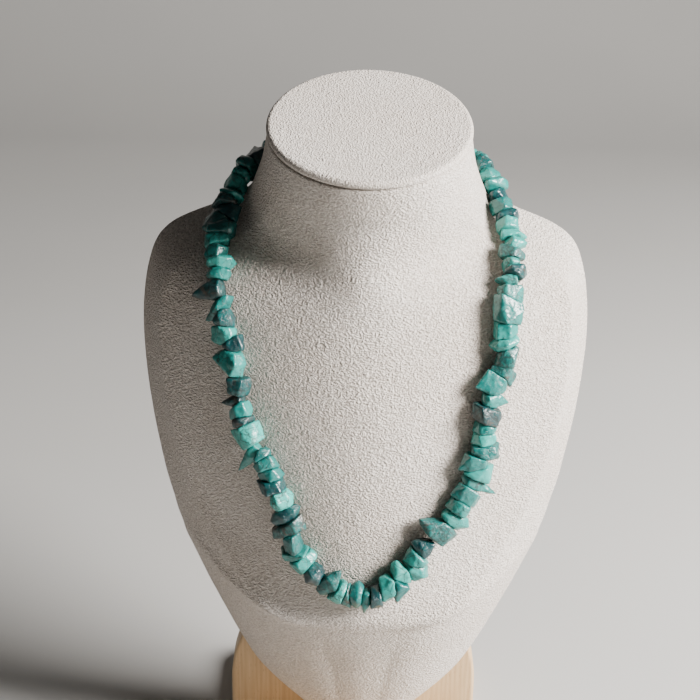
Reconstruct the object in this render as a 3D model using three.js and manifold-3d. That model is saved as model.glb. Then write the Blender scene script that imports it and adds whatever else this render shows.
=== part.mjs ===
/**
 * Beaded necklace of turquoise chips, worn by a fabric covered neck bust on a wooden stand.
 *
 * Millimetres, +Z up, the chest faces -Y. The origin is on the table, under the middle of the stand.
 * The bust is lofted through tilted sections. The thread lies a fixed distance off the bust, and
 * every bead is a cut stone chip that is threaded on it, clear of the fabric and of its neighbours.
 */
import * as THREE from 'three';
import { ConvexGeometry } from 'three/addons/geometries/ConvexGeometry.js';
import { mergeVertices } from 'three/addons/utils/BufferGeometryUtils.js';
import Module from 'manifold-3d';

// ---------------------------------------------------------------- driving dimensions (mm)

const GAP = 0.3;                    // clearance that touching pieces keep
const CRUMB = 0.04;                 // detail of a cut that is smoothed away
const WELD = 1e-4;                  // corners closer than this are one

// Sections of the bust, from the lower tip to the top of the neck. Each one is a closed outline in a
// plane through (0, back, z) that is tilted so that its front is the lower side. half: half width;
// front: depth of the chest; ridge: place across of the chest's edge; side: depth there; edge: depth
// where the back starts; round: 0 for a bevel outside the ridge, 1 for a round skirt; shield: 1 for
// this outline, 0 for the plain ellipse of the neck.
const SECTION_COLUMNS = ['z', 'back', 'half', 'front', 'ridge', 'side', 'edge', 'tilt', 'round', 'shield'];
const BUST_SECTIONS = [
  [12, 2, 12, 6, 3, 5.5, 0.5, 10, 1, 0.6],
  [20, 2, 21, 11, 5, 10.4, 1, 15, 1, 0.9],
  [39, 2, 39.2, 19, 8, 18.2, 1.5, 22, 1, 1],
  [66, 2, 53.2, 29.5, 11, 28.3, 2, 28, 1, 1],
  [95, 2.5, 65.4, 42.5, 17, 41, 3, 34, 0.8, 1],
  [104, 3.6, 68.3, 47.3, 31, 43.8, 4, 34, 0.45, 1],
  [110, 5, 70, 49.6, 41.4, 38, 5, 33.6, 0.15, 1],
  [128, 9.5, 74.7, 52.5, 59.5, 27.5, 7, 32, 0, 1],
  [156, 17, 80.1, 57, 69.4, 28.2, 8.5, 28, 0, 1],
  [183, 25.5, 82.5, 60.5, 74.1, 29.7, 10, 25, 0, 1],
  [204, 32.5, 79.9, 62, 74, 30.4, 11, 23, 0, 1],
  [214, 35.8, 73.5, 62.6, 67, 30.5, 11.5, 21.8, 0, 1],
  [221, 38, 56.5, 63, 51.5, 30.6, 11.5, 20.6, 0, 0.97],
  [226, 40, 48, 63.3, 43, 31.2, 12, 19.2, 0, 0.84],
  [231, 41.8, 44, 63.7, 39, 32.4, 13, 18, 0, 0.58],
  [236.5, 42.8, 42, 64.3, 37, 33.7, 14, 17.3, 0, 0.3],
  [245, 42.5, 39.5, 65.5, 34.5, 35, 15, 18, 0, 0.08],
  [253.5, 40, 37.5, 66.5, 32.5, 35, 15, 20, 0, 0],
  [265, 35.5, 35.5, 66.5, 30.5, 35, 15, 21, 0, 0],
].map((row) => Object.fromEntries(row.map((value, i) => [SECTION_COLUMNS[i], value])));
const RIDGE_SHARE = { min: 0.25, max: Math.cos(Math.PI / 8) };  // part of a section's corners on the chest
const CHEST_BULGE = 1.6;            // power of the chest arc: 2 is a parabola
const CHEST_SOFT = 0.15;            // rounding of that arc's middle, as a share of the ridge
const SKIRT_BULGE = 2.1;            // power of the round skirt's arc
const BEVEL_START = 0.9;            // slope of the bevel at the ridge, as a share of its mean slope
const BACK_ROUND = { across: 0.75, depth: 0.7 };  // powers that round the corners of the back
const BUST_STEPS = 34;              // sections that the solid is lofted through
const BUST_SIDES = 32;              // corners of each section
const SURFACE_FINENESS = 3;         // times finer the surface is that the thread is laid on

// The neck's top: a separate padded disc. Rings of its rim: height over the neck, growth outwards.
const CAP_RINGS = [
  { height: GAP, grow: -0.7 },
  { height: 1.0, grow: 0.4 },
  { height: 2.3, grow: 0.5 },
  { height: 3.2, grow: -0.3 },
  { height: 3.6, grow: -2.0 },
];

// The wooden stand: an upright board with a round top behind the tip of the bust, on a foot.
const BOARD = { x: -2, front: 2.9, thick: 13, halfWidth: 48.5, archZ: 28, edge: 1.2 };
const FOOT = { x: -2, halfWidth: 46, front: -44, back: 62, thick: 10, corner: 12, edge: 1.2 };

// The thread, a closed loop: down the left of the chest, round the bottom, up the right and round
// the back of the neck. Each point is moved onto the surface that lies STANDOFF off the bust.
const STANDOFF = 4.4;
const STANDOFF_PASSES = 3;          // times that a point is moved nearer to that surface
const THREAD_RADIUS = 0.5;
const THREAD_SIDES = 5;
const THREAD_STEP = 5.5;            // length of one straight piece of the thread
const LOOP_STEPS = 1200;            // steps that the loop's length is measured in
const CORE_RADIUS = 0.9;            // core that joins the chips of a run
const THREAD_POINTS = [
  [-42, 30, 232], [-49.5, 21, 224], [-53.5, 5, 211.5], [-52, -4, 203], [-50.5, -10, 193],
  [-47.5, -15.5, 182.5], [-45.5, -19.5, 171.5], [-44, -23, 160], [-41, -26.5, 149.5],
  [-34.5, -30.5, 140], [-30, -33, 129], [-26, -35, 118], [-22, -36.5, 107],
  [-13.5, -38.5, 98.5], [-2.5, -39.5, 94], [9, -39, 95.5],
  [18, -37.5, 103], [24, -35.5, 113], [32, -33, 121.5], [38, -30, 131.5], [41, -27.5, 142.5],
  [43, -24.5, 154], [44, -22, 165.5], [48.5, -17, 175.5], [48.5, -13.5, 187], [49.5, -8.5, 197.5],
  [51, 0, 208.5], [51, 8, 215.5], [49, 18, 224], [42, 30, 231], [33, 41, 237], [18, 48, 240],
  [0, 50, 240], [-18, 48, 240], [-34, 41, 237],
];
const LOWEST_POINT = [-2.5, -39.5, 94];   // the place along the thread is counted from here

// A plain barrel clasp closes the loop behind the neck.
const CLASP = { radius: 2.4, length: 11, endRadius: 1.5, endLength: 1.4 };

// Chips that stand out from the others. at: place along the thread from its lowest point, thick: size
// along the thread, outer and inner: reach on the outer and on the inner side of the loop, face: reach
// away from the bust, lean: how far the outer end is moved along the thread, form: see CHIP_FORMS.
const MARKED_CHIPS = [
  { at: -157, thick: 4.2, outer: 4.5, inner: 5.5, face: 3.4, lean: 0, form: 'slab' },
  { at: -145, thick: 4.6, outer: 4.6, inner: 4.2, face: 3.6, lean: 0, form: 'block' },
  { at: -126, thick: 6.4, outer: 9.8, inner: 1.8, face: 4.2, lean: 1.2, form: 'tooth' },
  { at: -120, thick: 4.2, outer: 6.4, inner: 4.2, face: 2.8, lean: 4.2, form: 'tooth' },
  { at: -115, thick: 5.0, outer: 3.2, inner: 4.2, face: 4.4, lean: 0, form: 'pebble' },
  { at: -106, thick: 3.4, outer: 3.2, inner: 4.8, face: 3.4, lean: 0, form: 'slab' },
  { at: -100, thick: 8.2, outer: 7.2, inner: 4.2, face: 4.8, lean: -2.4, form: 'tooth' },
  { at: -91, thick: 5.0, outer: 3.2, inner: 4.2, face: 4.4, lean: 0, form: 'block' },
  { at: -86, thick: 3.4, outer: 6.2, inner: 2.0, face: 2.8, lean: 0.5, form: 'tooth' },
  { at: -73, thick: 7.6, outer: 4.8, inner: 5.2, face: 4.8, lean: 0, form: 'block' },
  { at: -67, thick: 3.8, outer: 9.6, inner: 1.6, face: 2.4, lean: 2.4, form: 'tooth' },
  { at: -57, thick: 3.0, outer: 4.0, inner: 3.8, face: 3.8, lean: 0, form: 'slab' },
  { at: -47, thick: 7.0, outer: 2.8, inner: 5.0, face: 4.6, lean: 0, form: 'pebble' },
  { at: -36.5, thick: 4.6, outer: 7.2, inner: 5.2, face: 3.8, lean: 0.6, form: 'slab' },
  { at: -30, thick: 5.2, outer: 4.4, inner: 2.8, face: 4.6, lean: 0, form: 'block' },
  { at: -22, thick: 5.4, outer: 4.2, inner: 4.2, face: 4.2, lean: 0, form: 'block' },
  { at: -16.4, thick: 5.8, outer: 4.0, inner: 3.6, face: 4.6, lean: 0, form: 'pebble' },
  { at: -10, thick: 5.2, outer: 4.2, inner: 7.2, face: 3.8, lean: 0.8, form: 'tooth' },
  { at: -5.4, thick: 3.8, outer: 5.0, inner: 3.8, face: 4.2, lean: 0, form: 'slab' },
  { at: 1.2, thick: 4.2, outer: 4.0, inner: 4.8, face: 4.0, lean: 0, form: 'pebble' },
  { at: 4.6, thick: 2.6, outer: 6.4, inner: 1.8, face: 3.2, lean: -1.2, form: 'tooth' },
  { at: 8.0, thick: 4.0, outer: 4.8, inner: 3.0, face: 4.6, lean: 0, form: 'slab' },
  { at: 12.2, thick: 4.2, outer: 3.2, inner: 6.6, face: 4.2, lean: 2.4, form: 'slab' },
  { at: 33.5, thick: 5.4, outer: 3.0, inner: 5.4, face: 3.8, lean: 0, form: 'tooth' },
  { at: 42, thick: 7.2, outer: 6.2, inner: 8.2, face: 4.6, lean: -2.2, form: 'tooth' },
  { at: 52.5, thick: 4.2, outer: 3.6, inner: 4.4, face: 4.2, lean: 0, form: 'slab' },
  { at: 57.4, thick: 4.6, outer: 5.4, inner: 5.0, face: 3.4, lean: -0.8, form: 'slab' },
  { at: 63, thick: 3.6, outer: 10.0, inner: 4.2, face: 2.6, lean: -2.6, form: 'tooth' },
  { at: 80, thick: 4.8, outer: 3.8, inner: 3.8, face: 4.2, lean: 0, form: 'block' },
  { at: 88.4, thick: 6.4, outer: 5.6, inner: 4.8, face: 4.6, lean: 0, form: 'block' },
  { at: 109.5, thick: 7.0, outer: 4.2, inner: 3.2, face: 4.4, lean: 0, form: 'block' },
  { at: 119.5, thick: 4.6, outer: 4.8, inner: 4.6, face: 3.6, lean: 0, form: 'slab' },
  { at: 126.5, thick: 8.0, outer: 5.4, inner: 5.0, face: 5.0, lean: 0, form: 'block' },
  { at: 143.5, thick: 4.4, outer: 3.4, inner: 3.4, face: 4.4, lean: 0, form: 'pebble' },
  { at: 152, thick: 4.2, outer: 5.8, inner: 2.2, face: 3.2, lean: 0.8, form: 'tooth' },
  { at: 168, thick: 4.8, outer: 4.2, inner: 4.8, face: 4.0, lean: 0, form: 'slab' },
];
const CHIP_PITCH = 4.3;             // mean size along the thread of the chips between the marked ones
const CHIP_REACH = { min: 3.4, max: 5.6 };  // reach sideways of an unmarked chip
const FILL_SHARE = { min: 0.75, max: 1.3 };  // how unevenly the unmarked chips share their stretch
const LEAST_FILL = 2.6;             // shortest stretch between marked chips that gets a chip of its own
const LONG_SIDE = { least: 1.05, tooth: 1.6, other: 1.3 };  // length of a chip's long side, in reaches
const CHIP_FACE = { min: 3.1, max: 5.2 };   // reach of an unmarked chip away from the bust
const CHIP_LEAN = 1.1;              // how far the end of an unmarked chip is moved along the thread
const CHIP_DEPTH = 3.9;             // reach of every chip towards the bust
const CHIP_SLANT = 0.22;            // greatest slant of the faces between neighbours, besides their wedge
const CHIP_WEDGE = 0.5;             // slant that gives a one-sided chip more room on its long side
const CHIP_BULK = 1.14;             // size of every chip across the thread, over the sizes above
const CHIP_SPARE = 1.1;             // stone past each end, which the faces between neighbours cut off
const SINGLE_CHIPS = 40;            // chips round the bottom of the loop that are nodes of their own
const RUNS_EACH_SIDE = 3;           // runs of joined chips on each side, up to the clasp
const SEED = 1906;

const COLOURS = { fabric: 0xd2cbc4, wood: 0xcfb795, stone: 0x3a9a92, thread: 0x2c2a28, metal: 0xb9b9b6 };

// ---------------------------------------------------------------- helpers

const wasm = await Module();
wasm.setup();

const deg = THREE.MathUtils.degToRad;
const mix = THREE.MathUtils.lerp;

/** A repeatable random number generator: mulberry32. */
function makeRandom(seed) {
  let state = seed;
  return (low = 0, high = 1) => {
    state = (state + 0x6D2B79F5) | 0;
    let t = Math.imul(state ^ (state >>> 15), 1 | state);
    t = (t + Math.imul(t ^ (t >>> 7), 61 | t)) ^ t;
    return low + (high - low) * (((t ^ (t >>> 14)) >>> 0) / 4294967296);
  };
}

/** Turns a closed geometry into a manifold solid. */
function toSolid(geometry) {
  const plain = geometry.clone();
  plain.deleteAttribute('normal');
  plain.deleteAttribute('uv');
  const merged = mergeVertices(plain, WELD);
  return new wasm.Manifold(new wasm.Mesh({
    numProp: 3,
    vertProperties: new Float32Array(merged.attributes.position.array),
    triVerts: new Uint32Array(merged.index.array),
  }));
}

/** Turns a manifold solid into a geometry. */
function toGeometry(solid) {
  const mesh = solid.getMesh();
  const geometry = new THREE.BufferGeometry();
  geometry.setAttribute('position', new THREE.BufferAttribute(mesh.vertProperties, 3));
  geometry.setIndex(new THREE.BufferAttribute(mesh.triVerts, 1));
  geometry.computeVertexNormals();
  return geometry;
}

/** The largest body of a solid, without the crumbs that a cut can leave. */
function largestBody(solid) {
  return solid.decompose().reduce((best, body) => (body.volume() > best.volume() ? body : best));
}

function addMesh(parent, name, geometry, colour, roughness, metalness = 0) {
  const finish = new THREE.MeshStandardMaterial({ color: colour, roughness, metalness });
  const mesh = new THREE.Mesh(geometry, finish);
  mesh.name = name;
  parent.add(mesh);
  return mesh;
}

// ---------------------------------------------------------------- bust

/** The row of the section table at step s, by a smooth curve through all rows. */
function bustRow(s) {
  const last = BUST_SECTIONS.length - 1;
  const i = Math.min(Math.floor(s), last - 1);
  const f = s - i;
  const row = {};
  for (const key of Object.keys(BUST_SECTIONS[0])) {
    const value = (k) => BUST_SECTIONS[Math.min(Math.max(k, 0), last)][key];
    const [a, b, c, d] = [i - 1, i, i + 1, i + 2].map(value);
    const [m, n] = [(c - a) / 2, (d - b) / 2];
    row[key] = (2 * f ** 3 - 3 * f ** 2 + 1) * b + (f ** 3 - 2 * f ** 2 + f) * m
      + (3 * f ** 2 - 2 * f ** 3) * c + (f ** 3 - f ** 2) * n;
  }
  return row;
}

/** How far the chest has fallen back at a share of its half width, from 0 in its middle to 1. */
function chestArc(share) {
  const rise = (x) => (x ** 2 + CHEST_SOFT ** 2) ** (CHEST_BULGE / 2);
  return (rise(share) - rise(0)) / (rise(1) - rise(0));
}

/** One corner of a section's shield outline, as [x, depth], at an angle from its right side. */
function shieldPoint(row, angle) {
  const across = Math.abs(Math.cos(angle));
  const side = Math.sign(Math.cos(angle));
  if (Math.sin(angle) < 0) {
    const inwards = Math.min(1, (-Math.sin(angle)) ** BACK_ROUND.depth);
    return [side * row.half * across ** BACK_ROUND.across, row.edge * (1 - inwards)];
  }
  const share = Math.min(Math.max(row.ridge / row.half, RIDGE_SHARE.min), RIDGE_SHARE.max);
  if (across <= share) {
    return [(side * row.ridge * across) / share, mix(row.front, row.side, chestArc(across / share))];
  }
  const out = (across - share) / (1 - share);
  const bevel = BEVEL_START * out + (1 - BEVEL_START) * out ** 2;
  const fall = mix(bevel, out ** SKIRT_BULGE, row.round);
  return [side * mix(row.ridge, row.half, out), mix(row.side, row.edge, fall)];
}

/** A section of the bust as a ring of points, grown outwards and lifted along its own normal. */
function bustRing(row, sides, grow = 0, lift = 0) {
  const [c, s] = [Math.cos(deg(row.tilt)), Math.sin(deg(row.tilt))];
  const ring = [];
  for (let i = 0; i < sides; i += 1) {
    const angle = (2 * Math.PI * i) / sides;
    const [shieldX, shieldDepth] = shieldPoint(row, angle);
    const x = mix((row.half + grow) * Math.cos(angle), shieldX, row.shield);
    const depth = mix(row.front / 2 + (row.front / 2 + grow) * Math.sin(angle), shieldDepth, row.shield);
    ring.push(new THREE.Vector3(x, row.back - depth * c - lift * s, row.z - depth * s + lift * c));
  }
  return ring;
}

/** A closed solid through rings of equal length, given from the bottom up. */
function loft(rings) {
  const sides = rings[0].length;
  const points = rings.flat();
  const faces = [];
  for (let r = 0; r < rings.length - 1; r += 1) {
    for (let i = 0; i < sides; i += 1) {
      const [a, b] = [r * sides + i, r * sides + ((i + 1) % sides)];
      faces.push(a, a + sides, b, b, a + sides, b + sides);
    }
  }
  [rings[0], rings.at(-1)].forEach((ring, end) => {
    const centre = ring.reduce((sum, p) => sum.add(p), new THREE.Vector3()).divideScalar(sides);
    const start = end === 0 ? 0 : (rings.length - 1) * sides;
    points.push(centre);
    for (let i = 0; i < sides; i += 1) {
      const [a, b] = [start + i, start + ((i + 1) % sides)];
      faces.push(points.length - 1, ...(end === 0 ? [a, b] : [b, a]));
    }
  });
  const geometry = new THREE.BufferGeometry().setFromPoints(points);
  geometry.setIndex(faces);
  geometry.computeVertexNormals();
  return geometry;
}

function bustGeometry(steps, sides) {
  const rings = [];
  for (let i = 0; i <= steps; i += 1) {
    rings.push(bustRing(bustRow(((BUST_SECTIONS.length - 1) * i) / steps), sides));
  }
  return loft(rings);
}

/** The bust moved outwards along its normals, for cuts that keep a clearance. */
function grownBust(geometry, distance) {
  const grown = geometry.clone();
  const [position, normal] = [grown.attributes.position, grown.attributes.normal];
  for (let i = 0; i < position.count; i += 1) {
    position.setXYZ(
      i,
      position.getX(i) + normal.getX(i) * distance,
      position.getY(i) + normal.getY(i) * distance,
      position.getZ(i) + normal.getZ(i) * distance,
    );
  }
  return grown;
}

function neckCapGeometry() {
  const neckTop = BUST_SECTIONS.at(-1);
  return loft(CAP_RINGS.map(({ height, grow }) => bustRing(neckTop, BUST_SIDES, grow, height)));
}

// ---------------------------------------------------------------- wooden stand

/** A board or plate: an outline with softened edges, thick along Z from 0. */
function softEdgedPlate(shape, thick, edge) {
  return new THREE.ExtrudeGeometry(shape, {
    depth: thick - 2 * edge, bevelEnabled: true, bevelThickness: edge, bevelSize: edge, bevelOffset: -edge,
    bevelSegments: 1, curveSegments: 12,
  }).translate(0, 0, edge);
}

function boardGeometry() {
  const bottom = FOOT.thick + GAP;
  const outline = new THREE.Shape();
  outline.moveTo(-BOARD.halfWidth, bottom);
  outline.lineTo(BOARD.halfWidth, bottom);
  outline.lineTo(BOARD.halfWidth, BOARD.archZ);
  outline.absarc(0, BOARD.archZ, BOARD.halfWidth, 0, Math.PI, false);
  return softEdgedPlate(outline, BOARD.thick, BOARD.edge)
    .rotateX(Math.PI / 2)
    .translate(BOARD.x, BOARD.front + BOARD.thick, 0);
}

function footGeometry() {
  const { halfWidth: w, front, back, corner: r } = FOOT;
  const outline = new THREE.Shape();
  outline.absarc(w - r, back - r, r, 0, Math.PI / 2, false);
  outline.absarc(-w + r, back - r, r, Math.PI / 2, Math.PI, false);
  outline.absarc(-w + r, front + r, r, Math.PI, 1.5 * Math.PI, false);
  outline.absarc(w - r, front + r, r, 1.5 * Math.PI, 2 * Math.PI, false);
  return softEdgedPlate(outline, FOOT.thick, FOOT.edge).translate(FOOT.x, 0, 0);
}

// ---------------------------------------------------------------- thread

/** Finds the nearest place of the bust and the direction away from it. */
class BustSurface {
  constructor(geometry) {
    this.position = geometry.attributes.position;
    this.normal = geometry.attributes.normal;
  }

  nearest(point) {
    const place = new THREE.Vector3();
    let best = 0;
    let bestDistance = Infinity;
    for (let i = 0; i < this.position.count; i += 1) {
      const distance = place.fromBufferAttribute(this.position, i).distanceToSquared(point);
      if (distance < bestDistance) {
        bestDistance = distance;
        best = i;
      }
    }
    place.fromBufferAttribute(this.position, best);
    const away = new THREE.Vector3().fromBufferAttribute(this.normal, best);
    return { height: away.dot(new THREE.Vector3().subVectors(point, place)), away };
  }

  /** Moves a point to a given height over the bust. */
  offset(point, height) {
    const moved = point.clone();
    for (let pass = 0; pass < STANDOFF_PASSES; pass += 1) {
      const near = this.nearest(moved);
      moved.addScaledVector(near.away, height - near.height);
    }
    return moved;
  }
}

/** The thread's loop, measured in millimetres from its lowest point. */
class Thread {
  constructor(surface) {
    const points = THREAD_POINTS.map((p) => surface.offset(new THREE.Vector3(...p), STANDOFF));
    this.surface = surface;
    this.loop = new THREE.CatmullRomCurve3(points, true, 'centripetal');
    this.loop.arcLengthDivisions = LOOP_STEPS;
    this.length = this.loop.getLength();
    const lowest = surface.offset(new THREE.Vector3(...LOWEST_POINT), STANDOFF);
    const shares = Array.from({ length: LOOP_STEPS }, (_, i) => i / LOOP_STEPS);
    this.zero = shares.reduce((best, u) => (
      this.loop.getPointAt(u).distanceTo(lowest) < this.loop.getPointAt(best).distanceTo(lowest)
        ? u : best));
  }

  share(at) {
    const u = this.zero + at / this.length;
    return u - Math.floor(u);
  }

  /** Point and axes at a place: along the thread, away from the bust, and to the loop's outer side. */
  frame(at) {
    const point = this.loop.getPointAt(this.share(at));
    const along = this.loop.getTangentAt(this.share(at));
    const { away } = this.surface.nearest(point);
    const face = away.clone().addScaledVector(along, -away.dot(along)).normalize();
    return { point, along, face, outer: new THREE.Vector3().crossVectors(along, face) };
  }

  /** A round tube along the thread between two places. */
  tube(start, end, radius) {
    const thread = this;
    class Span extends THREE.Curve {
      getPoint(t, target = new THREE.Vector3()) {
        return target.copy(thread.loop.getPointAt(thread.share(mix(start, end, t))));
      }
    }
    const section = new THREE.Shape();
    section.setFromPoints(Array.from({ length: THREAD_SIDES }, (_, i) => {
      const angle = (2 * Math.PI * i) / THREAD_SIDES;
      return new THREE.Vector2(radius * Math.cos(angle), radius * Math.sin(angle));
    }));
    const steps = Math.max(2, Math.round((end - start) / THREAD_STEP));
    return new THREE.ExtrudeGeometry(section, { steps, extrudePath: new Span(), bevelEnabled: false });
  }
}

// ---------------------------------------------------------------- chips

// Rings of corners that each form is hulled from. along: place in the chip's thickness from -1 to 1,
// grow: size of the ring, corners: how many.
const CHIP_FORMS = {
  slab: [
    { along: -1, grow: 0.9, corners: 6 }, { along: 1, grow: 0.94, corners: 6 },
  ],
  block: [
    { along: -1, grow: 0.94, corners: 5 }, { along: 0, grow: 1, corners: 4 },
    { along: 1, grow: 0.88, corners: 5 },
  ],
  pebble: [
    { along: -1, grow: 0.62, corners: 6 }, { along: 0, grow: 1, corners: 7 },
    { along: 1, grow: 0.6, corners: 6 },
  ],
  tooth: [
    { along: -1, grow: 0.7, corners: 4 }, { along: 0, grow: 1, corners: 5 },
    { along: 1, grow: 0.7, corners: 4 },
  ],
};
const FILL_FORMS = ['slab', 'block', 'block', 'pebble', 'tooth'];  // forms of the unmarked chips
const JITTER = 0.16;                // roughness of the corners
const CORNER_SWING = 0.2;           // how unevenly the corners are spread, in their own spacing
const TOOTH_POINT = 0.36;           // how blunt the pointed end of a tooth is, along the thread
const TOOTH_FLAT = 0.75;            // and how blunt it is away from the bust
const TOOTH_LIFT = 0.8;             // how far the tip of a tooth is off the middle

/** The rough stone of one chip, before it is fitted between its neighbours. */
function roughChip(thread, chip, random) {
  const { point, along, face, outer } = thread.frame(chip.at);
  const longOuter = chip.outer >= chip.inner;
  const corners = [];
  for (const ring of CHIP_FORMS[chip.form]) {
    const start = random(0, 2 * Math.PI);
    for (let i = 0; i < ring.corners; i += 1) {
      const angle = start + ((i + random(-CORNER_SWING, CORNER_SWING)) * 2 * Math.PI) / ring.corners;
      const [c, s] = [Math.cos(angle), Math.sin(angle)];
      const size = CHIP_BULK * ring.grow * (1 + random(-JITTER, JITTER));
      const sideways = size * c * (c > 0 ? chip.outer : chip.inner);
      const height = size * s * (s > 0 ? chip.face : CHIP_DEPTH);
      const onPoint = chip.form === 'tooth' && (c > 0) === longOuter ? Math.abs(c) : 0;
      const narrow = mix(1, TOOTH_POINT, onPoint);
      const lean = (chip.lean * sideways) / (longOuter ? chip.outer : -chip.inner);
      const half = chip.thick / 2 + CHIP_SPARE;
      corners.push(point.clone()
        .addScaledVector(along, ring.along * half * narrow + lean)
        .addScaledVector(outer, sideways)
        .addScaledVector(face, height * mix(1, TOOTH_FLAT, onPoint)));
    }
  }
  if (chip.form === 'tooth') {
    const reach = CHIP_BULK * (longOuter ? chip.outer : -chip.inner);
    corners.push(point.clone().addScaledVector(outer, reach).addScaledVector(along, chip.lean)
      .addScaledVector(face, random(-TOOTH_LIFT, TOOTH_LIFT)));
  }
  return toSolid(new ConvexGeometry(corners));
}

/** All chips between two places: the marked ones, and others of mixed sizes between them. */
function planChips(start, end, random) {
  const fill = (from, to) => {
    const count = Math.round((to - from) / CHIP_PITCH);
    const shares = Array.from({ length: count }, () => random(FILL_SHARE.min, FILL_SHARE.max));
    const total = shares.reduce((sum, share) => sum + share, 0);
    let place = from;
    return shares.map((share, i) => {
      const thick = ((to - from) * share) / total;
      place += thick;
      const { min, max } = CHIP_REACH;
      const form = FILL_FORMS[Math.floor(random(0, FILL_FORMS.length))];
      const long = random(LONG_SIDE.least, form === 'tooth' ? LONG_SIDE.tooth : LONG_SIDE.other);
      const [near, far] = [random(min, max) / long, random(min, max) * long];
      return {
        at: place - thick / 2, thick, form, lean: random(-CHIP_LEAN, CHIP_LEAN),
        outer: i % 2 ? near : far, inner: i % 2 ? far : near, face: random(CHIP_FACE.min, CHIP_FACE.max),
      };
    });
  };
  const chips = [];
  let place = start;
  for (const marked of MARKED_CHIPS) {
    if (marked.at - marked.thick / 2 - place > LEAST_FILL) {
      chips.push(...fill(place, marked.at - marked.thick / 2));
    }
    chips.push({ ...marked });
    place = marked.at + marked.thick / 2;
  }
  return [...chips, ...fill(place, end)];
}

/** How much a chip reaches to the loop's outer side rather than to its inner one, from -1 to 1. */
const sidedness = (chip) => (chip.outer - chip.inner) / (chip.outer + chip.inner);

/** The faces between neighbours: slanted planes, one before each chip and one after the last. */
function planFaces(thread, chips, random) {
  const places = chips.map((chip, i) => (
    i === 0 ? chip.at - chip.thick / 2
      : (chip.at - chip.thick / 2 + chips[i - 1].at + chips[i - 1].thick / 2) / 2));
  places.push(chips.at(-1).at + chips.at(-1).thick / 2);
  return places.map((at, i) => {
    const { point, along, face, outer } = thread.frame(at);
    const before = chips[i - 1] ?? chips[i];
    const after = chips[i] ?? before;
    const lean = before.outer + before.inner > after.outer + after.inner ? before : after;
    const longSide = lean.outer >= lean.inner ? lean.outer : -lean.inner;
    const follow = -lean.lean / longSide;
    const wedge = -CHIP_WEDGE * (sidedness(before) - sidedness(after));
    const normal = along.clone()
      .addScaledVector(outer, follow + wedge + random(-CHIP_SLANT, CHIP_SLANT))
      .addScaledVector(face, random(-CHIP_SLANT, CHIP_SLANT))
      .normalize();
    return { normal, offset: normal.dot(point) };
  });
}

/** Every chip, fitted between its two faces and kept off the bust. */
function cutChips(thread, bust, chips, random) {
  const faces = planFaces(thread, chips, random);
  const keepOff = toSolid(grownBust(bust, GAP));
  return chips.map((chip, i) => {
    let stone = roughChip(thread, chip, random);
    for (const face of faces.slice(Math.max(0, i - 1), i + 1)) {
      stone = stone.trimByPlane(face.normal.toArray(), face.offset + GAP / 2);
    }
    for (const face of faces.slice(i + 1, i + 3)) {
      stone = stone.trimByPlane(face.normal.clone().negate().toArray(), GAP / 2 - face.offset);
    }
    return largestBody(stone.subtract(keepOff));
  });
}

/** The hole that lets the thread through, with its clearance. */
function drilled(solid, thread, start, end) {
  const drill = toSolid(thread.tube(start, end, THREAD_RADIUS + GAP));
  return largestBody(solid.subtract(drill).simplify(CRUMB));
}

// ---------------------------------------------------------------- assembly

function makeBust(object) {
  const geometry = bustGeometry(BUST_STEPS, BUST_SIDES);
  addMesh(object, 'bust', geometry, COLOURS.fabric, 0.95);
  addMesh(object, 'neck_cap', neckCapGeometry(), COLOURS.fabric, 0.95);
  return geometry;
}

function makeStand(object) {
  addMesh(object, 'stand_board', boardGeometry(), COLOURS.wood, 0.6);
  addMesh(object, 'stand_foot', footGeometry(), COLOURS.wood, 0.6);
}

function makeClasp(object, thread, at) {
  const { point, along } = thread.frame(at);
  const half = CLASP.length / 2;
  const profile = [
    [0, -half], [CLASP.endRadius, -half], [CLASP.radius, CLASP.endLength - half],
    [CLASP.radius, half - CLASP.endLength], [CLASP.endRadius, half], [0, half],
  ].map(([x, y]) => new THREE.Vector2(x, y));
  const clasp = addMesh(object, 'clasp', new THREE.LatheGeometry(profile, 16), COLOURS.metal, 0.3, 1);
  clasp.position.copy(point);
  clasp.quaternion.setFromUnitVectors(new THREE.Vector3(0, 1, 0), along);
}

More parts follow.
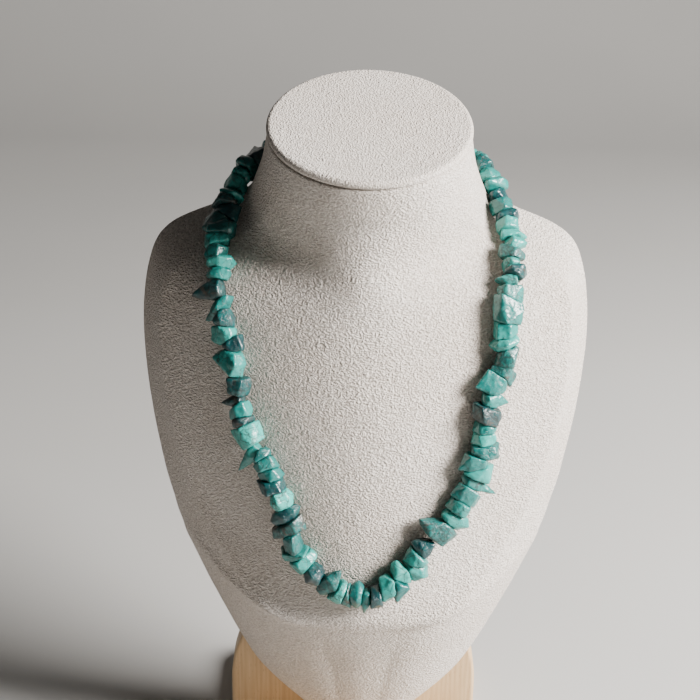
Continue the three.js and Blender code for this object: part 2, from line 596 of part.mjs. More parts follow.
function makeStrand(object, thread, bust) {
  const random = makeRandom(SEED);
  const claspPlace = thread.length / 2;
  const clear = CLASP.length / 2 + GAP;
  const chips = planChips(claspPlace - thread.length + clear, claspPlace - clear, random);
  const stones = cutChips(thread, bust, chips, random);

  const order = chips.map((chip, i) => i).sort((a, b) => Math.abs(chips[a].at) - Math.abs(chips[b].at));
  const singles = order.slice(0, SINGLE_CHIPS).sort((a, b) => a - b);
  const [first, last] = [singles[0], singles.at(-1)];
  const threadStart = chips[first].at - chips[first].thick / 2;
  const threadEnd = chips[last].at + chips[last].thick / 2;
  const strung = thread.tube(threadStart + GAP, threadEnd - GAP, THREAD_RADIUS);
  addMesh(object, 'thread', strung, COLOURS.thread, 0.9);

  singles.forEach((index, i) => {
    const stone = drilled(stones[index], thread, threadStart + GAP, threadEnd - GAP);
    addMesh(object, `chip_${String(i + 1).padStart(2, '0')}`, toGeometry(stone), COLOURS.stone, 0.3);
  });

  const joinRun = (name, from, to) => {
    const start = chips[from].at - chips[from].thick / 2 + GAP;
    const end = chips[to].at + chips[to].thick / 2 - GAP;
    const core = toSolid(thread.tube(start, end, CORE_RADIUS));
    const run = stones.slice(from, to + 1).reduce((sum, stone) => sum.add(stone), core);
    addMesh(object, name, toGeometry(largestBody(run.simplify(CRUMB))), COLOURS.stone, 0.3);
  };
  const split = (from, to, side) => {
    for (let k = 0; k < RUNS_EACH_SIDE; k += 1) {
      const cut = (step) => from + Math.round(((to - from) * step) / RUNS_EACH_SIDE);
      joinRun(`chip_run_${side}_${k + 1}`, cut(k), cut(k + 1) - 1);
    }
  };
  split(0, first, 'left');
  split(last + 1, chips.length, 'right');
  makeClasp(object, thread, claspPlace);
}

const object = new THREE.Group();
const bust = makeBust(object);
makeStand(object);
const surface = new BustSurface(
  bustGeometry(SURFACE_FINENESS * BUST_STEPS, SURFACE_FINENESS * BUST_SIDES));
const thread = new Thread(surface);
makeStrand(object, thread, bust);

export default object;
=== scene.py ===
"""Looks of a beaded turquoise chip necklace on a cloth covered neck bust with a wooden stand.

Every length is in metres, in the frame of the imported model: +Z up, the chest faces -Y, and the
origin is on the table under the stand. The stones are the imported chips, tumbled and polished. The
bust, its neck cap and the wooden stand are made again with fine surfaces from the same sizes.
"""
import logging
import math
from dataclasses import astuple, dataclass, field
from enum import Enum
from typing import Iterable, Optional, Sequence

import bmesh
import bpy
import numpy as np
from mathutils import Matrix, Vector
from mathutils.bvhtree import BVHTree


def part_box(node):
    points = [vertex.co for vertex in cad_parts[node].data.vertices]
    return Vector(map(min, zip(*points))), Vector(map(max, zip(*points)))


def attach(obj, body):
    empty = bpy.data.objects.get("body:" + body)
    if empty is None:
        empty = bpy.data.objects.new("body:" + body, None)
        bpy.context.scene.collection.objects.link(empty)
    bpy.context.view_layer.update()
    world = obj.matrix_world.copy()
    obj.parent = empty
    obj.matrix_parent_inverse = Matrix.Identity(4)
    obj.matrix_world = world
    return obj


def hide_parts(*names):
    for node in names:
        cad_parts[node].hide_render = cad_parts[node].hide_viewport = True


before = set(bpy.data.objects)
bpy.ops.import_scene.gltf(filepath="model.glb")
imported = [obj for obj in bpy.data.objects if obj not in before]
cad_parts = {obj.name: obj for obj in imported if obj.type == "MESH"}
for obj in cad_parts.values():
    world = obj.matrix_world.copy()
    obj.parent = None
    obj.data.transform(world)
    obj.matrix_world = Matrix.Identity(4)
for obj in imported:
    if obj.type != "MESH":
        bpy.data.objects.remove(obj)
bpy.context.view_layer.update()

LOG = logging.getLogger("necklace")
MM = 0.001
BODY = "root"


class Slot(Enum):
    """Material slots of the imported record."""

    FABRIC = "fabric"
    WOOD = "wood"
    STONE = "turquoise"
    THREAD = "thread"
    METAL = "clasp_metal"


# ---------------------------------------------------------------- node trees


class Graph:
    """Adds nodes to a node tree and links them by name."""

    def __init__(self, tree: bpy.types.NodeTree) -> None:
        """Keeps the tree.

        Args:
            tree: the shader or geometry tree to build.
        """
        self.tree = tree

    def add(self, kind: str, inputs: Optional[dict] = None, **settings: object) -> bpy.types.Node:
        """Adds one node.

        Args:
            kind: the node's type name.
            inputs: socket name or number to a value, or to another node's output socket.
            settings: properties of the node.

        Returns:
            The new node.
        """
        node = self.tree.nodes.new(kind)
        for name, value in settings.items():
            setattr(node, name, value)
        for key, value in (inputs or {}).items():
            socket = node.inputs[key]
            if isinstance(value, bpy.types.NodeSocket):
                self.tree.links.new(value, socket)
            else:
                socket.default_value = value
        return node

    def math(self, operation: str, first: object, second: object = 0.0) -> bpy.types.NodeSocket:
        """Adds a Math node and returns its result."""
        return self.add("ShaderNodeMath", {0: first, 1: second}, operation=operation).outputs[0]

    def plus(self, first: object, second: object) -> bpy.types.NodeSocket:
        """Returns the sum of two numbers."""
        return self.math("ADD", first, second)

    def minus(self, first: object, second: object) -> bpy.types.NodeSocket:
        """Returns the first number less the second."""
        return self.math("SUBTRACT", first, second)

    def times(self, first: object, second: object) -> bpy.types.NodeSocket:
        """Returns the product of two numbers."""
        return self.math("MULTIPLY", first, second)

    def vector(self, operation: str, first: object, second: object = (0, 0, 0)) -> bpy.types.NodeSocket:
        """Adds a Vector Math node and returns its vector result."""
        return self.add("ShaderNodeVectorMath", {0: first, 1: second}, operation=operation).outputs[0]

    def scaled(self, vector: object, scale: object) -> bpy.types.NodeSocket:
        """Returns a vector times a number."""
        return self.add("ShaderNodeVectorMath", {0: vector, "Scale": scale}, operation="SCALE").outputs[0]

    def noise(self, vector: object, scale: float, detail: float = 2.0,
              **inputs: float) -> bpy.types.NodeSocket:
        """Adds a noise texture and returns its value from 0 to 1.

        Args:
            vector: the place.
            scale: features in a metre.
            detail: octaves of finer noise.
            inputs: other inputs, by their names in lower case.

        Returns:
            The value socket.
        """
        values = {"Vector": vector, "Scale": scale, "Detail": detail}
        values.update({name.capitalize(): value for name, value in inputs.items()})
        return self.add("ShaderNodeTexNoise", values).outputs[0]

    def swirl(self, vector: object, scale: float, detail: float, reach: float) -> bpy.types.NodeSocket:
        """Returns a random shift, up to about half of reach each way.

        Args:
            vector: the place.
            scale: features in a metre.
            detail: octaves of finer noise.
            reach: the size of the shift in metres.

        Returns:
            The shift as a vector socket.
        """
        values = {"Vector": vector, "Scale": scale, "Detail": detail}
        colour = self.add("ShaderNodeTexNoise", values).outputs[1]
        return self.scaled(self.vector("SUBTRACT", colour, (0.5, 0.5, 0.5)), reach)

    def cells(self, vector: object, scale: float, feature: str = "F1") -> bpy.types.NodeSocket:
        """Adds a cell texture and returns its distance."""
        values = {"Vector": vector, "Scale": scale}
        return self.add("ShaderNodeTexVoronoi", values, feature=feature).outputs["Distance"]

    def clamped(self, value: object) -> bpy.types.NodeSocket:
        """Returns a number kept from 0 to 1."""
        return self.add("ShaderNodeClamp", {0: value}).outputs[0]

    def mask(self, value: object, low: float, high: float) -> bpy.types.NodeSocket:
        """Returns a mask that rises from 0 at low to 1 at high."""
        return self.ramp(value, [(low, (0, 0, 0)), (high, (1, 1, 1))])

    def ramp(self, value: object, stops: Sequence[tuple[float, tuple]]) -> bpy.types.NodeSocket:
        """Adds a colour ramp.

        Args:
            value: the socket that is looked up.
            stops: place from 0 to 1 and the linear colour there.

        Returns:
            The colour socket.
        """
        node = self.add("ShaderNodeValToRGB", {0: value})
        elements = node.color_ramp.elements
        while len(elements) < len(stops):
            elements.new(1.0)
        for element, (place, colour) in zip(elements, stops):
            element.position = place
            element.color = (*colour[:3], 1.0)
        return node.outputs[0]

    def blend(self, factor: object, first: object, second: object,
              mode: str = "MIX") -> bpy.types.NodeSocket:
        """Mixes two colours and returns the colour socket.

        Args:
            factor: share of the second colour.
            first: the first colour.
            second: the second colour.
            mode: how they mix.

        Returns:
            The colour socket.
        """
        node = self.add("ShaderNodeMix", data_type="RGBA", blend_type=mode)
        for key, value in ((0, factor), (6, first), (7, second)):
            if isinstance(value, bpy.types.NodeSocket):
                self.tree.links.new(value, node.inputs[key])
            else:
                node.inputs[key].default_value = value if key == 0 else (*value[:3], 1.0)
        return node.outputs[2]


def linear(code: str) -> tuple[float, float, float]:
    """Turns a hex colour as seen on a screen into a linear one."""
    parts = [int(code[i:i + 2], 16) / 255 for i in (0, 2, 4)]
    return tuple(c / 12.92 if c <= 0.04045 else ((c + 0.055) / 1.055) ** 2.4 for c in parts)


def new_material(name: str) -> tuple[bpy.types.Material, Graph, bpy.types.Node, bpy.types.NodeSocket]:
    """Starts a procedural material.

    Args:
        name: the material's name.

    Returns:
        The material, its graph, its shader node and the object coordinates.
    """
    material = bpy.data.materials.new(name)
    material.use_nodes = True
    graph = Graph(material.node_tree)
    shader = material.node_tree.nodes["Principled BSDF"]
    place = graph.add("ShaderNodeTexCoord").outputs["Object"]
    return material, graph, shader, place


def attach_bump(graph: Graph, shader: bpy.types.Node, height: bpy.types.NodeSocket, depth: float) -> None:
    """Gives a shader a bump of a real depth in metres."""
    bump = graph.add("ShaderNodeBump", {"Strength": 1.0, "Distance": depth, "Height": height})
    graph.tree.links.new(bump.outputs[0], shader.inputs["Normal"])


# ---------------------------------------------------------------- finishes


@dataclass(frozen=True)
class SuedeCloth:
    """Crinkled ivory suede-like cloth: short wrinkles that run across, over a fine nap, with painted shade
    darkening the hollows of the wrinkles.

    wrinkle is the size of one wrinkle, stretch how much longer it is across, depth the bump's depth,
    wobble how far a wrinkle strays in its own sizes, and mottle the rate of the broad shading.
    """

    light: str = "d8cfc6"
    # the darker colour painted into the wrinkle hollows as shade; the crests keep the pale cloth colour
    painted_crevice_shade: str = "b9aea4"
    worn: str = "f6f1ec"
    wrinkle: float = 0.6 * MM
    stretch: float = 1.5
    depth: float = 1.05 * MM
    wobble: float = 1.6
    mottle: float = 24.0

    def material(self, name: str) -> bpy.types.Material:
        """Builds the cloth.

        Args:
            name: the material's name.

        Returns:
            The material.
        """
        material, graph, shader, place = new_material(name)
        rate = 1 / self.wrinkle
        squeeze = (1 / self.stretch, 1 / self.stretch, 1.0)
        stray = graph.swirl(place, rate / 3, 1.0, self.wobble * self.wrinkle)
        across = graph.vector("MULTIPLY", graph.vector("ADD", place, stray), squeeze)
        wrinkles = graph.noise(across, rate, 1.0, roughness=0.5)
        creases = graph.math("ABSOLUTE", graph.minus(graph.noise(across, rate * 0.62, 1.0), 0.5))
        nap = graph.noise(place, rate * 3, 1.0)
        height = graph.plus(graph.times(wrinkles, 0.9), graph.times(creases, 1.1))
        height = graph.plus(height, graph.times(nap, 0.12))
        # painted shade: the low parts of the wrinkle height get the darker colour and the crests the pale
        # one
        colour = graph.ramp(height, [(0.45, linear(self.painted_crevice_shade)), (0.7, linear(self.light))])
        mottle = graph.noise(place, self.mottle, 3.0)
        tint = graph.ramp(mottle, [(0.35, linear(self.worn)), (0.65, linear("ffffff"))])
        colour = graph.blend(0.6, colour, tint, "MULTIPLY")
        graph.tree.links.new(colour, shader.inputs["Base Color"])
        shader.inputs["Roughness"].default_value = 0.92
        shader.inputs["Specular IOR Level"].default_value = 0.25
        shader.inputs["Sheen Weight"].default_value = 0.25
        shader.inputs["Sheen Roughness"].default_value = 0.5
        attach_bump(graph, shader, height, self.depth)
        return material


@dataclass(frozen=True)
class Turquoise:
    """Polished turquoise: blue-green stone with dark matrix veins, and brown and white patches.

    The numbers after the colours are how often each feature comes in a metre of stone.
    """

    pale: str = "30a89c"
    middle: str = "0f6f69"
    deep: str = "053035"
    vein: str = "0e1d19"
    brown: str = "463a2e"
    white: str = "a9c4bb"
    clouds: float = 260.0
    bends: float = 420.0
    web: float = 240.0
    net: float = 620.0
    vein_zones: float = 190.0
    grit: float = 760.0
    patches: float = 170.0
    flecks: float = 330.0
    pits: float = 700.0
    bend: float = 2.6 * MM
    pit_depth: float = 0.07 * MM
    finest_vein: float = 0.004

    def material(self, name: str) -> bpy.types.Material:
        """Builds the stone. It reads the stone's own tone, seed and vein attributes.

        Args:
            name: the material's name.

        Returns:
            The material.
        """
        material, graph, shader, place = new_material(name)
        tone, seed, veined = (
            graph.add("ShaderNodeAttribute", attribute_name=name).outputs["Fac"]
            for name in ("tone", "seed", "veined"))
        shift = graph.add("ShaderNodeCombineXYZ", {0: seed, 1: graph.times(seed, 1.7), 2: seed})
        own = graph.vector("ADD", place, shift.outputs[0])
        cloud = graph.noise(own, self.clouds, 3.0, roughness=0.6)
        mixed = graph.plus(graph.times(tone, 0.75), graph.times(cloud, 0.45))
        colour = graph.ramp(mixed, [
            (0.18, linear(self.deep)), (0.55, linear(self.middle)), (0.95, linear(self.pale))])

        bent = graph.vector("ADD", own, graph.swirl(own, self.bends, 3.0, self.bend))
        reach = graph.times(graph.noise(own, self.vein_zones, 2.0), veined)
        web, net = (
            graph.minus(1.0, graph.math(
                "DIVIDE", graph.cells(bent, rate, "DISTANCE_TO_EDGE"),
                graph.math("MAXIMUM", graph.times(reach, width), self.finest_vein)))
            for rate, width in ((self.web, 0.12), (self.net, 0.08)))
        veins = graph.clamped(graph.math("MAXIMUM", web, graph.times(net, 0.7)))
        grit = graph.mask(graph.noise(own, self.grit, 3.0, roughness=0.7), 0.53, 0.57)
        gritty = graph.clamped(graph.times(graph.minus(veined, 0.72), 3.0))
        veins = graph.math("MAXIMUM", veins, graph.times(grit, graph.times(gritty, 0.85)))

        patch = graph.plus(graph.noise(own, self.patches, 4.0, roughness=0.65), graph.times(veined, 0.16))
        brown = graph.mask(patch, 0.77, 0.82)
        elsewhere = graph.vector("ADD", own, (3.1, 0.4, 1.2))
        fleck = graph.mask(graph.noise(elsewhere, self.flecks, 3.0), 0.68, 0.74)
        colour = graph.blend(graph.times(brown, 0.8), colour, linear(self.brown))
        colour = graph.blend(graph.times(graph.times(fleck, veined), 0.5), colour, linear(self.white))
        colour = graph.blend(graph.times(veins, 0.9), colour, linear(self.vein))
        graph.tree.links.new(colour, shader.inputs["Base Color"])

        rough = graph.plus(graph.times(veins, 0.3), 0.27)
        rough = graph.plus(rough, graph.times(cloud, 0.1))
        graph.tree.links.new(rough, shader.inputs["Roughness"])
        shader.inputs["IOR"].default_value = 1.61
        shader.inputs["Coat Weight"].default_value = 0.15
        shader.inputs["Coat Roughness"].default_value = 0.12
        pits = graph.noise(own, self.pits, 2.0)
        height = graph.minus(graph.times(pits, 0.3), graph.times(veins, 0.8))
        attach_bump(graph, shader, height, self.pit_depth)
        return material


@dataclass(frozen=True)
class BeechWood:
    """Light beech with a fine grain along one axis.

    stretch squeezes the place along the grain. The other numbers are how often each feature comes in
    a metre across the grain.
    """

    light: str = "cdb089"
    dark: str = "bb9b74"
    palest: str = "ddc8a8"
    pore: str = "8a6b4a"
    stretch: tuple[float, float, float] = (1.0, 1.0, 0.07)
    pore_stretch: tuple[float, float, float] = (1.0, 1.0, 0.22)
    bends: float = 60.0
    rings: float = 170.0
    fibres: float = 900.0
    pores: float = 1100.0

    def material(self, name: str) -> bpy.types.Material:
        """Builds the wood.

        Args:
            name: the material's name.

        Returns:
            The material.
        """
        material, graph, shader, place = new_material(name)
        grain = graph.vector("MULTIPLY", place, self.stretch)
        bend = graph.noise(grain, self.bends, 2.0)
        values = {
            "Vector": grain, "Scale": self.rings, "Distortion": 7.0, "Detail": 2.0, "Detail Scale": 1.4}
        rings = graph.add(
            "ShaderNodeTexWave", values, wave_type="BANDS", bands_direction="X").outputs["Fac"]
        fibres = graph.noise(grain, self.fibres, 3.0, roughness=0.6)
        figure = graph.plus(graph.times(rings, 0.15), graph.times(fibres, 0.5))
        figure = graph.plus(figure, graph.times(bend, 0.25))
        colour = graph.ramp(figure, [
            (0.3, linear(self.dark)), (0.62, linear(self.light)), (0.9, linear(self.palest))])
        pores = graph.cells(graph.vector("MULTIPLY", place, self.pore_stretch), self.pores)
        pores = graph.ramp(pores, [(0.08, (1, 1, 1)), (0.2, (0, 0, 0))])
        colour = graph.blend(graph.times(pores, 0.35), colour, linear(self.pore))
        graph.tree.links.new(colour, shader.inputs["Base Color"])
        shader.inputs["Roughness"].default_value = 0.52
        shader.inputs["Specular IOR Level"].default_value = 0.35
        attach_bump(graph, shader, graph.minus(fibres, pores), 0.05 * MM)
        return material


@dataclass(frozen=True)
class WaxedThread:
    """Dark waxed thread."""

    colour: str = "2b2723"
    fibre: str = "4a433b"

    def material(self, name: str) -> bpy.types.Material:
        """Builds the thread's finish.

        Args:
            name: the material's name.

        Returns:
            The material.
        """
        material, graph, shader, place = new_material(name)
        fluff = graph.noise(place, 4000.0, 2.0)
        colour = graph.ramp(fluff, [(0.3, linear(self.colour)), (0.8, linear(self.fibre))])
        graph.tree.links.new(colour, shader.inputs["Base Color"])
        shader.inputs["Roughness"].default_value = 0.75
        attach_bump(graph, shader, fluff, 0.03 * MM)
        return material


@dataclass(frozen=True)
class SilverMetal:
    """Plain silver coloured metal with soft handling marks."""

    colour: str = "c9c9c6"
    dull: str = "aaaaa8"

    def material(self, name: str) -> bpy.types.Material:
        """Builds the metal.

        Args:
            name: the material's name.

        Returns:
            The material.
        """
        material, graph, shader, place = new_material(name)
        marks = graph.noise(graph.vector("MULTIPLY", place, (0.3, 1.0, 1.0)), 2600.0, 3.0)
        tint = graph.ramp(marks, [(0.3, linear(self.dull)), (0.7, linear(self.colour))])
        graph.tree.links.new(tint, shader.inputs["Base Color"])
        rough = graph.plus(graph.times(marks, 0.25), 0.15)
        graph.tree.links.new(rough, shader.inputs["Roughness"])
        shader.inputs["Metallic"].default_value = 1.0
        attach_bump(graph, shader, marks, 0.01 * MM)
        return material


# ---------------------------------------------------------------- geometry trees


def geometry_tree(name: str,
                  inputs: Sequence[tuple[str, str]]) -> tuple[Graph, bpy.types.Node, bpy.types.Node]:
    """Starts a geometry tree.

    Args:
        name: the tree's name.
        inputs: name and socket type of each input after the geometry.

    Returns:
        The graph, its input node and its output node.
    """
    tree = bpy.data.node_groups.new(name, "GeometryNodeTree")
    tree.interface.new_socket("Geometry", in_out="INPUT", socket_type="NodeSocketGeometry")
    for label, kind in inputs:
        tree.interface.new_socket(label, in_out="INPUT", socket_type=kind)
    tree.interface.new_socket("Geometry", in_out="OUTPUT", socket_type="NodeSocketGeometry")
    graph = Graph(tree)
    return graph, graph.add("NodeGroupInput"), graph.add("NodeGroupOutput")


def finish_tree(graph: Graph, shape: bpy.types.NodeSocket, start: bpy.types.Node,
                end: bpy.types.Node) -> None:
    """Ends a tree with Realize Instances, smooth shading and its own Material input.

    Args:
        graph: the tree's graph.
        shape: the finished geometry.
        start: the tree's input node.
        end: the tree's output node.
    """
    real = graph.add("GeometryNodeRealizeInstances", {0: shape}).outputs[0]
    smooth = graph.add("GeometryNodeSetShadeSmooth", {0: real, "Shade Smooth": True}).outputs[0]
    dressed = graph.add("GeometryNodeSetMaterial", {0: smooth, "Material": start.outputs["Material"]})
    graph.tree.links.new(dressed.outputs[0], end.inputs[0])


def attach_tree(piece: bpy.types.Object, tree: bpy.types.NodeTree, values: dict) -> None:
    """Gives an object a geometry tree, with its inputs set by their identifiers.

    Args:
        piece: the object to work on.
        tree: the geometry tree.
        values: input name to value.
    """
    modifier = piece.modifiers.new(tree.name, "NODES")
    modifier.node_group = tree
    for item in tree.interface.items_tree:
        if item.item_type == "SOCKET" and item.in_out == "INPUT" and item.name in values:
            modifier[item.identifier] = values[item.name]


def run_tree(piece: bpy.types.Object, tree: bpy.types.NodeTree, values: dict) -> bpy.types.Object:
    """Runs a geometry tree over an object and keeps the result as its plain mesh.

    Args:
        piece: the object to work on.
        tree: the geometry tree.
        values: input name to value.

    Returns:
        The same object with its new mesh.
    """
    attach_tree(piece, tree, values)
    return settle(piece)


def evaluated_mesh(piece: bpy.types.Object) -> bpy.types.Mesh:
    """The plain mesh that an object's modifiers make.

    Args:
        piece: the object.

    Returns:
        A new mesh.
    """
    piece.update_tag()
    bpy.context.view_layer.update()
    graph = bpy.context.evaluated_depsgraph_get()
    return bpy.data.meshes.new_from_object(piece.evaluated_get(graph), depsgraph=graph)


def settle(piece: bpy.types.Object) -> bpy.types.Object:
    """Replaces a mesh object's modifiers by their result.

    Args:
        piece: the object.

    Returns:
        The same object with its new mesh.
    """
    mesh = evaluated_mesh(piece)
    piece.modifiers.clear()
    old, piece.data = piece.data, mesh
    if old.users == 0:
        bpy.data.meshes.remove(old)
    return piece


def tumbled_stone_tree() -> bpy.types.NodeTree:
    """A tree that rounds a cut chip, wears hollows into it, and stores its tone, seed and veins.

    Returns:
        The tree.
    """
    graph, start, end = geometry_tree("tumbled_stone", [
        ("Polish", "NodeSocketInt"),
        *((label, "NodeSocketFloat") for label in (
            "Hollow Depth", "Hollow Size", "Fullness", "Tone", "Seed", "Veined")),
        ("Material", "NodeSocketMaterial"),
    ])
    place = graph.add("GeometryNodeInputPosition").outputs[0]
    blurred = graph.add(
        "GeometryNodeBlurAttribute", {"Iterations": start.outputs["Polish"]}, data_type="FLOAT_VECTOR")
    value = next(s for s in blurred.inputs if s.type == "VECTOR" and s.enabled)
    graph.tree.links.new(place, value)
    soft = next(s for s in blurred.outputs if s.type == "VECTOR" and s.enabled)
    shape = graph.add("GeometryNodeSetPosition", {0: start.outputs[0], "Position": soft}).outputs[0]

    seed = start.outputs["Seed"]
    shift = graph.add("ShaderNodeCombineXYZ", {0: seed, 1: graph.times(seed, -1.3), 2: seed})
    own = graph.vector("ADD", place, shift.outputs[0])
    rate = graph.math("DIVIDE", 1.0, start.outputs["Hollow Size"])
    finer, share = 3.2, 0.35
    broad = graph.noise(own, rate, 1.0)
    small = graph.noise(own, graph.times(rate, finer), 1.0)
    wear = graph.plus(broad, graph.times(small, share))
    wear = graph.minus(wear, start.outputs["Fullness"])
    inward = graph.times(graph.times(wear, start.outputs["Hollow Depth"]), -1.0)
    normal = graph.add("GeometryNodeInputNormal").outputs[0]
    offset = graph.scaled(normal, inward)
    shape = graph.add("GeometryNodeSetPosition", {0: shape, "Offset": offset}).outputs[0]
    for label in ("Tone", "Seed", "Veined"):
        store = graph.add("GeometryNodeStoreNamedAttribute", {0: shape, "Name": label.lower()},
                          data_type="FLOAT", domain="POINT")
        value = next(s for s in store.inputs if s.name == "Value" and s.enabled)
        graph.tree.links.new(start.outputs[label], value)
        shape = store.outputs[0]
    finish_tree(graph, shape, start, end)
    return graph.tree


def covered_form_tree() -> bpy.types.NodeTree:
    """A tree that gives a padded, covered form its slight unevenness.

    Returns:
        The tree.
    """
    graph, start, end = geometry_tree("covered_form", [
        ("Swell", "NodeSocketFloat"), ("Swell Size", "NodeSocketFloat"), ("Material", "NodeSocketMaterial")])
    place = graph.add("GeometryNodeInputPosition").outputs[0]
    rate = graph.math("DIVIDE", 1.0, start.outputs["Swell Size"])
    level = 0.62
    rise = graph.minus(graph.noise(place, rate, 3.0), level)
    offset = graph.scaled(graph.add("GeometryNodeInputNormal").outputs[0],
                          graph.times(rise, start.outputs["Swell"]))
    shape = graph.add("GeometryNodeSetPosition", {0: start.outputs[0], "Offset": offset}).outputs[0]
    finish_tree(graph, shape, start, end)
    return graph.tree


def twisted_thread_tree(plies: int) -> bpy.types.NodeTree:
    """A tree that lays twisted plies along a closed curve.

    Args:
        plies: how many plies the thread has.

    Returns:
        The tree.
    """
    graph, start, end = geometry_tree("twisted_thread", [
        *((label, "NodeSocketFloat") for label in ("Ply Radius", "Lay Radius", "Turns", "Step")),
        ("Material", "NodeSocketMaterial")])
    line = graph.add(
        "GeometryNodeResampleCurve", {0: start.outputs[0], "Length": start.outputs["Step"]}, mode="LENGTH")
    tangent = graph.add("GeometryNodeInputTangent").outputs[0]
    normal = graph.add("GeometryNodeInputNormal").outputs[0]
    side = graph.vector("CROSS_PRODUCT", tangent, normal)
    share = graph.add("GeometryNodeSplineParameter").outputs["Factor"]
    profile = graph.add(
        "GeometryNodeCurvePrimitiveCircle", {"Resolution": 6, "Radius": start.outputs["Ply Radius"]})
    join = graph.add("GeometryNodeJoinGeometry")
    for ply in range(plies):
        turn = graph.times(graph.times(share, start.outputs["Turns"]), math.tau)
        angle = graph.plus(turn, math.tau * ply / plies)
        across = graph.scaled(normal, graph.math("COSINE", angle))
        along = graph.scaled(side, graph.math("SINE", angle))
        offset = graph.scaled(graph.vector("ADD", across, along), start.outputs["Lay Radius"])
        laid = graph.add("GeometryNodeSetPosition", {0: line.outputs[0], "Offset": offset})
        tube = graph.add("GeometryNodeCurveToMesh", {
            0: laid.outputs[0], 1: profile.outputs[0], "Fill Caps": False})
        graph.tree.links.new(tube.outputs[0], join.inputs[0])
    finish_tree(graph, join.outputs[0], start, end)
    return graph.tree


# ---------------------------------------------------------------- meshes


def new_piece(name: str, vertices: Iterable[Sequence[float]],
              faces: Iterable[Sequence[int]]) -> bpy.types.Object:
    """Makes an object of a mesh whose place is in its vertices.

    Args:
        name: the piece's name.
        vertices: its corners in the frame, in metres.
        faces: corner numbers of each face.

    Returns:
        The object.
    """
    mesh = bpy.data.meshes.new(name)
    mesh.from_pydata([tuple(v) for v in vertices], [], [tuple(f) for f in faces])
    mesh.update()
    piece = bpy.data.objects.new(name, mesh)
    bpy.context.scene.collection.objects.link(piece)
    return piece


def tidy_mesh(piece: bpy.types.Object, merge: float = 0.01 * MM) -> bpy.types.Object:
    """Merges doubled corners and turns all faces outwards.

    Args:
        piece: the object.
        merge: corners nearer than this become one.

    Returns:
        The same object.
    """
    shape = bmesh.new()
    shape.from_mesh(piece.data)
    bmesh.ops.remove_doubles(shape, verts=shape.verts, dist=merge)
    bmesh.ops.recalc_face_normals(shape, faces=shape.faces)
    shape.to_mesh(piece.data)
    shape.free()
    return piece


def join_pieces(name: str, pieces: Sequence[bpy.types.Object]) -> bpy.types.Object:
    """Joins objects into one, with the first one's materials.

    Args:
        name: name of the joined piece.
        pieces: the objects.

    Returns:
        The joined piece.
    """
    bpy.ops.object.select_all(action="DESELECT")
    for piece in pieces:
        piece.select_set(True)
    bpy.context.view_layer.objects.active = pieces[0]
    if len(pieces) > 1:
        bpy.ops.object.join()
    joined = bpy.context.view_layer.objects.active
    joined.name = name
    joined.data.name = name
    return joined


def hand_over(piece: bpy.types.Object, nodes: Sequence[str]) -> None:
    """Fixes a finished piece to the body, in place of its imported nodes, and reports it.

    Args:
        piece: the finished piece.
        nodes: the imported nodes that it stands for.
    """
    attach(piece, BODY)
    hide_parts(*nodes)
    triangles = sum(len(p.vertices) - 2 for p in piece.data.polygons)
    LOG.info("%s: %d triangles, stands for %d nodes", piece.name, triangles, len(nodes))


def ring_faces(rings: int, sides: int) -> list[tuple[int, int, int, int]]:
    """Faces of a skin through rings of equal length, from the bottom up.

    Args:
        rings: number of rings.
        sides: corners of each ring.

    Returns:
        Four corner numbers for each face.
    """
    return [
        (r * sides + i, r * sides + (i + 1) % sides, (r + 1) * sides + (i + 1) % sides, (r + 1) * sides + i)
        for r in range(rings - 1) for i in range(sides)
    ]


def closed_skin(name: str, rings: Sequence[np.ndarray]) -> bpy.types.Object:
    """A closed piece through rings of equal length, from the bottom up, with both ends covered.

    Args:
        name: the piece's name.
        rings: corners of each ring, one row each.

    Returns:
        The piece.
    """
    sides = len(rings[0])
    top = (len(rings) - 1) * sides
    faces: list[Sequence[int]] = list(ring_faces(len(rings), sides))
    faces.append(tuple(range(top, top + sides)))
    faces.append(tuple(reversed(range(sides))))
    return tidy_mesh(new_piece(name, np.vstack(rings), faces), 0.005 * MM)


def even_ring(points: np.ndarray, count: int) -> np.ndarray:
    """Places a number of points at equal steps round a closed outline.

    Args:
        points: the outline's corners.
        count: number of points.

    Returns:
        One row for each point.
    """
    closed = np.vstack([points, points[:1]])
    steps = np.linalg.norm(np.diff(closed, axis=0), axis=1)
    along = np.concatenate([[0.0], np.cumsum(steps)])
    wanted = np.linspace(0, along[-1], count, endpoint=False)
    return np.stack([np.interp(wanted, along, closed[:, k]) for k in range(3)], axis=1)


# ---------------------------------------------------------------- bust


@dataclass
class Section:
    """One tilted outline of the bust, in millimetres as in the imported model's own table.

    ridge is the place across of the chest's edge, side the depth there, edge the depth where the back
    starts, and rounding is 0 for a bevel outside the ridge and 1 for a round skirt.
    """

    z: float
    back: float
    half: float
    front: float
    ridge: float
    side: float
    edge: float
    tilt: float
    rounding: float
    shield: float

    def values(self) -> np.ndarray:
        """All sizes as one row."""
        return np.array(astuple(self))


